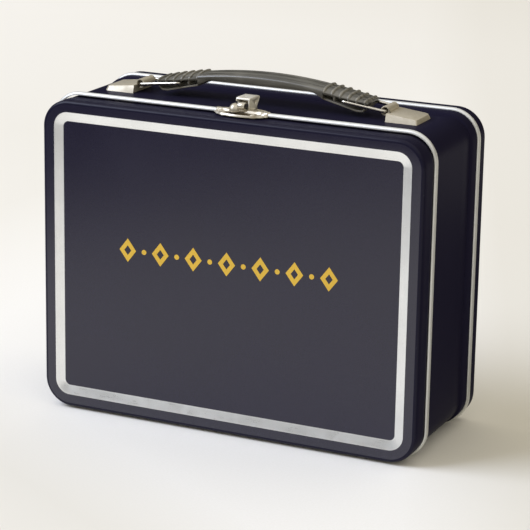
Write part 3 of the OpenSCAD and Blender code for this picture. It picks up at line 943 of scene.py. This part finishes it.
def bracket_roof(bm, side, low_x, high_x):
    """Sloping roof with bevelled skirts round all of it but its inner end."""
    bevel = 1.3 * MM
    nose = 0.9 * MM
    turn = 2.6 * MM
    thick = 0.6 * MM
    ease = 0.3 * MM
    square_y = -1 if side > 0 else 1

    def level(x):
        return ROOF_IN + (ROOF_OUT - ROOF_IN) * (x - low_x) / (high_x - low_x)

    def skirt_loop(grow, lift):
        """Outline of the roof grown by grow at a height given by lift(x)."""
        end = high_x - nose + grow * nose / bevel
        edge = ROOF_HALF + grow
        points = [(low_x, square_y * edge), (end - 0.5 * MM, square_y * edge)]
        points.append((end, square_y * (edge - 0.5 * MM)))
        points += [(a, -square_y * b) for a, b in arc(end - turn, edge - turn, turn, 0, 90, 6)]
        points.append((low_x, -square_y * edge))
        return [bm.verts.new((side * x, HANDLE_Y + y, BAND_TOP + lift(x))) for x, y in points]

    rounded = ((0, 0), (ease * 0.7, ease * 0.25), (ease, ease * 0.8))
    loops = [skirt_loop(grow, lambda x, d=drop: level(x) - d) for grow, drop in rounded]
    loops.append(skirt_loop(bevel, lambda x: 0.0))
    loops.append(skirt_loop(bevel - thick, lambda x: 0.0))
    loops.append(skirt_loop(-thick * 0.7, lambda x: level(x) - thick))
    for a, b in zip(loops, loops[1:]):
        for i in range(len(a) - 1):
            bm.faces.new((a[i], a[i + 1], b[i + 1], b[i]))
    bm.faces.new(loops[0])
    bm.faces.new(loops[-1][::-1])
    bm.faces.new([loop[0] for loop in loops] + [loop[-1] for loop in loops[::-1]])


def bracket_knuckle(bm, side, low_x, knuckle_x):
    """Wall that closes the inner end of the roof, and the open curl in front of it."""
    foot = ROOF_HALF + 0.95 * MM
    brow = ROOF_HALF - 0.1 * MM
    top_z = BAND_TOP + ROOF_IN
    inner_end = [(HANDLE_Y - foot, BAND_TOP), (HANDLE_Y + foot, BAND_TOP)]
    inner_end += [(HANDLE_Y + brow, top_z - 0.3 * MM), (HANDLE_Y - brow, top_z - 0.3 * MM)]
    faces = sorted((side * (low_x + 0.1 * MM), side * (low_x + 0.6 * MM)))
    prism(bm, inner_end, *faces, "x", 0.1 * MM, 1)
    wall = 0.55 * MM
    knuckle_r = 2.3 * MM
    half = 6 * MM
    curl = [(low_x + 1.5 * MM, top_z - 0.35 * MM), (low_x + 0.2 * MM, top_z - 0.2 * MM)]
    curl += arc(knuckle_x, BAND_TOP + 4.5 * MM, knuckle_r - wall / 2, -20, 285, 26)
    curl = [(side * x, z) for x, z in curl]
    curled_strip(bm, curl, wall, HANDLE_Y - half, HANDLE_Y + half, "y", 0.12 * MM)


def make_bracket(side):
    """Pressed bracket, of which the left one sits a little further out."""
    name = "right" if side > 0 else "left"
    shift = 0.0 if side > 0 else 1.1 * MM
    low_x, high_x = 67.2 * MM + shift, 83.5 * MM + shift
    bm = bmesh.new()
    bracket_roof(bm, side, low_x, high_x)
    bracket_knuckle(bm, side, low_x, 65.5 * MM + 0.7 * shift)
    bracket_tabs(bm, side)
    bracket = finished(bm, "bracket_plate_" + name, [NICKEL], 30)
    place(bracket, "case", "nickel_plate", "handle_bracket_" + name)


# ---- latch -----------------------------------------------------------------------------

LATCH_X = (catch_low.x + catch_high.x) / 2
OVAL_W = catch_high.x - catch_low.x
OVAL_D = 17.8 * MM
OVAL_X = LATCH_X + 0.7 * MM
LOBES = 10
HASP_X = (hasp_low.x + hasp_high.x) / 2 + 0.1 * MM
HASP_REACH = 2.2 * MM
PIN_Y = (pin_low.y + pin_high.y) / 2
PIN_Z = (pin_low.z + pin_high.z) / 2


def oval_height(x, y, share, angle):
    """Height of the oval above the top of the cover: a dish with a rolled rim, a swelling
    over the seam, a crescent in front of it and small beads round both ends."""
    ends = abs(math.cos(angle)) ** 5
    dish = 0.5 * MM
    swell = 1.2 * MM * math.exp(-(((y - SEAM_Y) / (1.75 * MM)) ** 6))
    boss = 0.5 * MM * math.exp(-((x / (5 * MM)) ** 2)) * math.exp(-(((y - SEAM_Y) / (3 * MM)) ** 2))
    roll = 0.45 * MM * math.exp(-(((share - 0.94) / 0.045) ** 2)) * (1 - 0.45 * ends)
    fall = 0.7 * MM * max(0.0, (share - 0.94) / 0.06) ** 2
    pearl = max(0.0, math.cos(angle * LOBES * 2)) * ends
    pearls = 1.15 * MM * pearl * math.exp(-(((share - 0.82) / 0.1) ** 2))
    inner = 0.7 * MM * max(0.0, -math.cos(angle * LOBES * 2)) * ends
    inner *= math.exp(-(((share - 0.62) / 0.07) ** 2))
    dip = 0.3 * MM * hollow(x, y)
    return min(1.85 * MM, dish + swell + boss + roll + pearls + inner - dip) - fall


def hollow(x, y):
    """How deep the crescent between the front rim and the seam is, from 0 to 1. The same share darkens the
    crescent's colour as painted shade.
    """
    across = (y - SEAM_Y + 4.4 * MM) / (2.9 * MM)
    return math.exp(-(across**4)) * math.exp(-((x / (9.5 * MM)) ** 4))


def oval_plate(name, low_z, front_part, body, node):
    """Half of the ornate oval, cut off just behind the seam. The front part is hollowed
    where it lies over the bead."""
    near_rim = [0.79, 0.81, 0.83, 0.85, 0.87, 0.89, 0.92, 0.95, 0.98, 1.0]
    steps = 192
    bm = bmesh.new()
    painted_crescent_shade = bm.verts.layers.float.new("painted_crescent_shade")
    loops = []
    for share in [i / 30 for i in range(1, 24)] + near_rim:
        loop = []
        for i in range(steps):
            angle = 2 * math.pi * i / steps
            ends = abs(math.cos(angle)) ** 5
            notch = ends * 0.07 * (math.cos(angle * LOBES * 2) - 1) / 2
            grow = 1 + notch * share**4
            x = math.cos(angle) * OVAL_W / 2 * share * grow
            y = SEAM_Y + math.sin(angle) * OVAL_D / 2 * share * grow
            vert = bm.verts.new((OVAL_X + x, y, COVER_TOP + oval_height(x, y, share, angle)))
            # Painted shade: the crescent's depth is stored on the mesh, and the nickel is darkened there as
            # if in shadow.
            vert[painted_crescent_shade] = hollow(x, y)
            loop.append(vert)
        loops.append(loop)
    hub = bm.verts.new((OVAL_X, SEAM_Y, COVER_TOP + oval_height(0.0, SEAM_Y, 0.0, 0.0)))
    for i in range(steps):
        n = (i + 1) % steps
        bm.faces.new((hub, loops[0][i], loops[0][n]))
        for a, b in zip(loops, loops[1:]):
            bm.faces.new((a[i], b[i], b[n], a[n]))
    cut_y = SEAM_Y + (1.2 if front_part else 1.5) * MM
    keep = 1 if front_part else -1
    bmesh.ops.bisect_plane(
        bm, geom=bm.verts[:] + bm.edges[:] + bm.faces[:], plane_co=(0, cut_y, 0), plane_no=(0, keep, 0),
        clear_outer=True,
    )
    rim = [e for e in bm.edges if e.is_boundary]
    made = bmesh.ops.extrude_edge_only(bm, edges=rim)
    for item in made["geom"]:
        if isinstance(item, bmesh.types.BMVert):
            item.co.z = low_z
    bottom = [e for e in bm.edges if e.is_boundary]
    bmesh.ops.contextual_create(bm, geom=bottom)
    plate = finished(bm, name, [NICKEL_ORNATE], 60)
    if front_part:
        groove_r = BEAD_R + 0.04 * MM
        behind, below = SEAM_Y + 4 * MM, COVER_TOP - 2 * MM
        groove = arc(SEAM_Y, COVER_TOP, groove_r, 0, 180, 12)
        groove += [(SEAM_Y - groove_r, below), (behind, below), (behind, COVER_TOP)]
        mill(plate, groove, LATCH_X - 30 * MM, LATCH_X + 30 * MM, "x", "groove_cut")
    place(plate, body, "nickel_plate", node)


def make_hasp():
    """Folded channel: sloped top with a rounded front corner, two cheeks and pin holes.
    The left cheek is cut short to clear the boss."""
    half = (hasp_high.x - hasp_low.x) / 2
    front, rear = hasp_low.y - HASP_REACH, hasp_high.y
    low, high = hasp_low.z, hasp_high.z + 0.1 * MM
    wall = 0.62 * MM
    outline = [
        (front, low + 0.5 * MM), (front, high - 1.1 * MM), (front + 0.35 * MM, high - 0.3 * MM),
        (front + 1.1 * MM, high), (rear - 1.5 * MM, high - 0.2 * MM), (rear - 0.4 * MM, high - 0.6 * MM),
        (rear, high - 1.5 * MM), (rear, PIN_Z + 1.2 * MM), (PIN_Y + 4 * MM, PIN_Z - 0.7 * MM),
        (PIN_Y + 2 * MM, PIN_Z - 3.0 * MM), (PIN_Y + 0.6 * MM, low + 0.5 * MM),
    ]
    bm = bmesh.new()
    prism(bm, outline, HASP_X - half, HASP_X + half, "x", 0.5 * MM, 3)
    hasp = finished(bm, "hasp_channel", [NICKEL_HASP], 40)
    ahead, behind, below = front - 1 * MM, rear + 1 * MM, low - 1 * MM
    channel = [(ahead, below), (behind, below), (behind, high - 1.4 * MM), (ahead, high - 0.95 * MM)]
    mill(hasp, channel, HASP_X - half + wall, HASP_X + half - wall, "x", "hollow_cut")
    left_front = front + HASP_REACH
    short = [(ahead, below), (left_front, below), (left_front, high - 2.2 * MM), (ahead, high - 1.6 * MM)]
    mill(hasp, short, HASP_X - half - 1 * MM, HASP_X - half + 1.5 * wall, "x", "short_cheek_cut")
    drill(hasp, (HASP_X, PIN_Y, PIN_Z), (1, 0, 0), 0.78 * MM, 8 * MM, 24, "pin_cut")
    drill(hasp, (HASP_X - 0.4 * MM, front + 3.4 * MM, high), (0, 0, 1), 0.34 * MM, 2 * MM, 16, "top_cut")
    place(hasp, "hasp", "nickel_plate", "latch_hasp")


def make_ears():
    """Two fixed plates inside the hasp."""
    corners = [(-1.3, -4.6), (4.8, -4.6), (4.8, -3.5), (2.6, -0.8), (1.1, 0.6), (0, 1.1), (-1.1, 0.5)]
    outline = [(PIN_Y + a * MM, PIN_Z + b * MM) for a, b in corners]
    bm = bmesh.new()
    for side in (-1, 1):
        faces = sorted((HASP_X + side * 2.85 * MM, HASP_X + side * 2.05 * MM))
        prism(bm, outline, *faces, "x", 0.2 * MM, 2)
    ears = finished(bm, "hasp_ears", [NICKEL_ORNATE], 40)
    place(ears, "case", "nickel_plate", "latch_ears")


def make_pin():
    """Pin through the ears, short of the outer faces of the hasp's cheeks."""
    bm = bmesh.new()
    reach = 3.2 * MM
    profile = [(0, -reach), (0.6 * MM, -reach), (0.72 * MM, -reach + 0.15 * MM)]
    profile += [(a, -b) for a, b in profile[::-1]]
    lathe(bm, (HASP_X, PIN_Y, PIN_Z), (1, 0, 0), profile, 24)
    pin = finished(bm, "hasp_pin", [NICKEL], 40)
    place(pin, "case", "nickel_plate", "latch_pin")


def make_nose():
    """Curled hook that the hasp closes over, and the round boss beside it."""
    foot = nose_low.z
    roll_z = (nose_low.z + nose_high.z) / 2
    roll_y = SEAM_Y - 1.2 * MM
    bm = bmesh.new()
    path = [(roll_y + 3.9 * MM, roll_z + 0.9 * MM), (roll_y + 2.4 * MM, roll_z + 1.2 * MM)]
    path += arc(roll_y, roll_z, 1.6 * MM, 60, 300, 20)
    curled_strip(bm, path, 0.6 * MM, LATCH_X - 1.2 * MM, LATCH_X + 2.4 * MM, "x", 0.15 * MM)
    boss = []
    for a, b in arc(0, 0, 1, 0, 90, 8):
        boss.append((a * 3.0 * MM, b * 3.7 * MM - 0.6 * MM))
    lathe(bm, (LATCH_X - 3.2 * MM, roll_y + 0.2 * MM, foot), (0, 0, 1), [(3.0 * MM, -0.9 * MM)] + boss, 28)
    left, right = LATCH_X - 2.6 * MM, LATCH_X + 2.3 * MM
    front, back = roll_y - 1.2 * MM, roll_y + 0.8 * MM
    block = [(left, front), (right, front), (right, back), (left, back)]
    prism(bm, block, foot - 0.7 * MM, foot + 0.8 * MM, "z", 0.25 * MM)
    nose = finished(bm, "catch_hook", [NICKEL_ORNATE], 45)
    place(nose, "cover", "nickel_plate", "latch_nose")


def make_catch_rivets():
    """Two rivet heads in the hollow of the catch plate, with their shanks below."""
    low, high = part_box("latch_rivets_cover")
    radius = (high.y - low.y) / 2
    inward = 1.8 * MM
    y = low.y + radius + inward
    head_z = COVER_TOP + 0.4 * MM
    bm = bmesh.new()
    for x in (low.x + radius, high.x - radius):
        profile = [(0, low.z - head_z), (radius, low.z - head_z)]
        profile += [(radius * a, 0.6 * MM * b) for a, b in arc(0, 0, 1, 0, 90, 6)]
        lathe(bm, (x, y, head_z), (0, 0, 1), profile, 24)
    rivets = finished(bm, "catch_rivet_heads", [NICKEL_ORNATE], 45)
    place(rivets, "cover", "nickel_plate", "latch_rivets_cover")


def make_latch():
    oval_plate("catch_plate", COVER_TOP - 0.15 * MM, True, "cover", "latch_catch")
    oval_plate("base_plate", BAND_TOP, False, "case", "latch_base")
    make_hasp()
    make_ears()
    make_pin()
    make_nose()
    make_catch_rivets()


# ---- CAD pieces that keep their shape --------------------------------------------------


def finish_cad_nodes():
    finishes = {
        "hinge_rivets_case": NICKEL, "hinge_rivets_cover": NICKEL, "latch_rivets_case": NICKEL_ORNATE
    }
    for side in ("left", "right"):
        for part in ("hinge_leaf_case_", "hinge_leaf_cover_", "hinge_pin_"):
            finishes[part + side] = NICKEL
        finishes["handle_wire_" + side] = WIRE
    for name, material in finishes.items():
        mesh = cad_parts[name].data
        mesh.materials.clear()
        mesh.materials.append(material)


# ---- studio ----------------------------------------------------------------------------


def make_floor():
    """Pale paper, a little darker at its far left, its right and its near corner, as painted
    shade. In reflections it is painted dim away from the box and to its right, as painted shade
    for a lit table against the dark end of a room and for the box's shadow. From below it is
    clear, so that the underside can be looked at."""
    made = Shader("floor_paper", Roughness=0.85, Specular_IOR_Level=0.1)
    grain = made.noise(900, 3)
    paper = made.mix(made.band(grain, 0.3, 0.7), colour(236, 234, 230), colour(240, 238, 235))
    east, north, _ = made.node("SeparateXYZ", {"Vector": made.coordinates}).outputs
    # Painted shade: the paper is darker at the far left, the right and the near corner.
    near_left = made.plus(north, made.times(east, 0.6))
    far_right = made.plus(east, made.times(north, 0.38))
    far_left = made.times(made.band(east, -0.33, -0.2, 0.8, 0), made.band(north, 0.5, 1.0, 1, 0))
    right_side = made.times(made.band(far_right, 0.08, 0.14), made.band(north, 0.4, 1.0, 1, 0.4))
    painted_light_pool = made.times(made.band(near_left, -0.17, -0.1), made.rest(right_side))
    painted_light_pool = made.times(painted_light_pool, made.rest(far_left))
    paper = made.mix(painted_light_pool, colour(226, 223, 216), paper)
    # Painted shade in reflections: the paper seen in reflections goes dark away from the front of the box,
    # and in the box's shadow to its right and behind it.
    slant = made.plus(made.times(north, 0.7), east)
    ahead = made.band(slant, -0.64, -0.44, 0.03, 1.0)
    right = made.band(east, 0.105, 0.13, 0.0, 1.0)
    behind = made.band(north, -0.06, -0.03, 0.0, 1.0)
    dark = made.times(right, behind)
    dark = made.times(dark, made.band(north, 0.4, 0.52, 1.0, 0.0))
    painted_reflection_light = made.times(ahead, made.rest(dark))
    painted_reflection_paper = made.mix(painted_reflection_light, (0.03, 0.029, 0.03, 1), colour(236, 234, 230))
    path = made.node("LightPath", {}).outputs
    made.set("Base Color", made.mix(path["Is Glossy Ray"], paper, painted_reflection_paper))
    under = made.node("NewGeometry", {}).outputs["Backfacing"]
    made.set("Alpha", made.rest(made.times(under, path["Is Camera Ray"])))
    bm = bmesh.new()
    spots = [(-2.4, -1.6), (2.4, -1.6), (2.4, 5.0), (-2.4, 5.0)]
    bm.faces.new([bm.verts.new((x, y, 0.0)) for x, y in spots])
    floor = finished(bm, "floor", [made.material])
    link(floor)


FILL = 0.76


def make_world():
    """Pale to the camera and an even warm fill for light. Reflections see a room that is
    bright in front and overhead, and dark low down behind the box."""
    world = bpy.data.worlds.new("studio")
    world.use_nodes = True
    made = Nodes(world.node_tree)
    path = made.node("LightPath", {}).outputs
    direction = made.node("TexCoord", {}).outputs["Generated"]
    _, north, up = made.node("SeparateXYZ", {"Vector": direction}).outputs
    front = made.times(made.band(north, 0.35, -0.1), made.band(up, 0.1, 0.8, 0.11, 1.0))
    bright = made.maths("MAXIMUM", front, made.band(up, 0.4, 0.75, 0.0, 0.8))
    glow = made.plus(bright, 0.03)
    parts = {0: glow, 1: made.times(glow, 0.985), 2: made.times(glow, 0.95)}
    room = made.node("CombineColor", parts).outputs[0]
    fill = (FILL, FILL * 0.94, FILL * 0.79, 1)
    shade = made.mix(path["Is Glossy Ray"], fill, room)
    shade = made.mix(path["Is Camera Ray"], shade, colour(238, 235, 229))
    made.tree.links.new(shade, made.tree.nodes["Background"].inputs["Color"])
    bpy.context.scene.world = world


def make_key():
    """One broad soft light, high up in front of the box and to its left."""
    data = bpy.data.lights.new("key", "AREA")
    data.shape = "RECTANGLE"
    data.size = 1.9
    data.size_y = 1.9
    data.energy = 82
    data.color = (0.734, 0.81, 1.0)
    light = bpy.data.objects.new("key", data)
    light.location = (-1.9, -1.15, 2.0)
    light.rotation_mode = "QUATERNION"
    aim = Vector((0, 0, 0.08)) - light.location
    light.rotation_quaternion = aim.to_track_quat("-Z", "Y")
    link(light)


def make_all():
    make_floor()
    make_cover()
    make_beads()
    make_band()
    make_back()
    make_ornament()
    make_grip()
    for side in (-1, 1):
        make_bracket(side)
    make_latch()
    finish_cad_nodes()
    make_world()
    make_key()
    bpy.context.scene.view_settings.view_transform = "Standard"


make_all()
